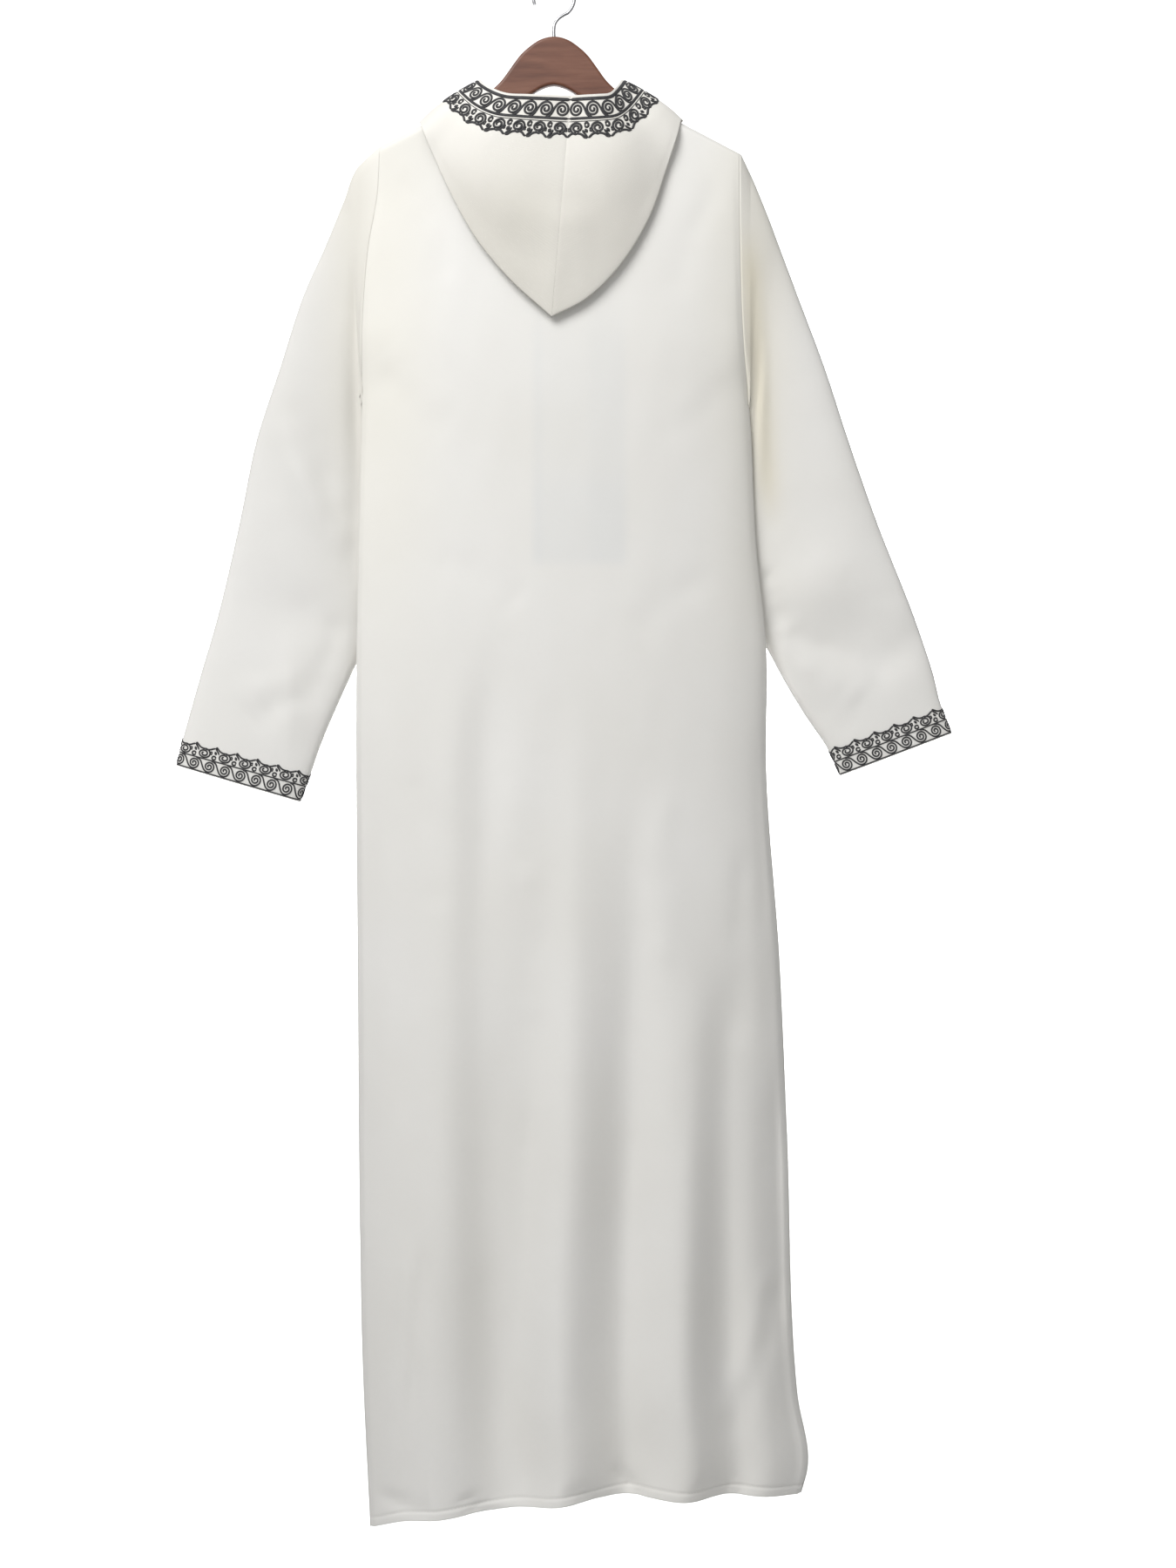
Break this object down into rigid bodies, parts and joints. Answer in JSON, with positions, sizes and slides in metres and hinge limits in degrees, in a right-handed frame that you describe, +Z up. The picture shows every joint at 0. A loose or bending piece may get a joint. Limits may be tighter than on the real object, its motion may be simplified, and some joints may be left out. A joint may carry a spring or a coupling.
{
  "type": "hooded abaya on a wooden hanger",
  "caption": "Long hooded abaya in ivory cloth with dark scroll bands at hood and cuffs, hanging from a wooden hanger with a wire hook.",
  "frame": {"origin": "inner crown of the hanger's wire hook, where a rail or wall hook holds it", "axes": "+Z up, out of the hook's crown; +Y out of the garment's front, so its back with the hood faces -Y; +X to the right of someone who looks at its back"},
  "size_m": [0.8256, 0.1646, 1.6374],
  "materials": {
    "ivory_crepe": "matte",
    "charcoal_embroidery": "satin",
    "brown_wood": "satin",
    "hook_steel": "satin"
  },
  "bodies": {
    "root": {"back_panel": "ivory_crepe", "front_panel": "ivory_crepe", "sleeve_left": "ivory_crepe", "sleeve_right": "ivory_crepe", "hood_left": "ivory_crepe", "hood_right": "ivory_crepe", "hood_trim_left": "charcoal_embroidery", "hood_trim_right": "charcoal_embroidery", "cuff_trim_left": "charcoal_embroidery", "cuff_trim_right": "charcoal_embroidery", "placket_trim_left": "charcoal_embroidery", "placket_trim_right": "charcoal_embroidery", "hanger": "brown_wood", "hook": "hook_steel"}
  },
  "joints": []
}
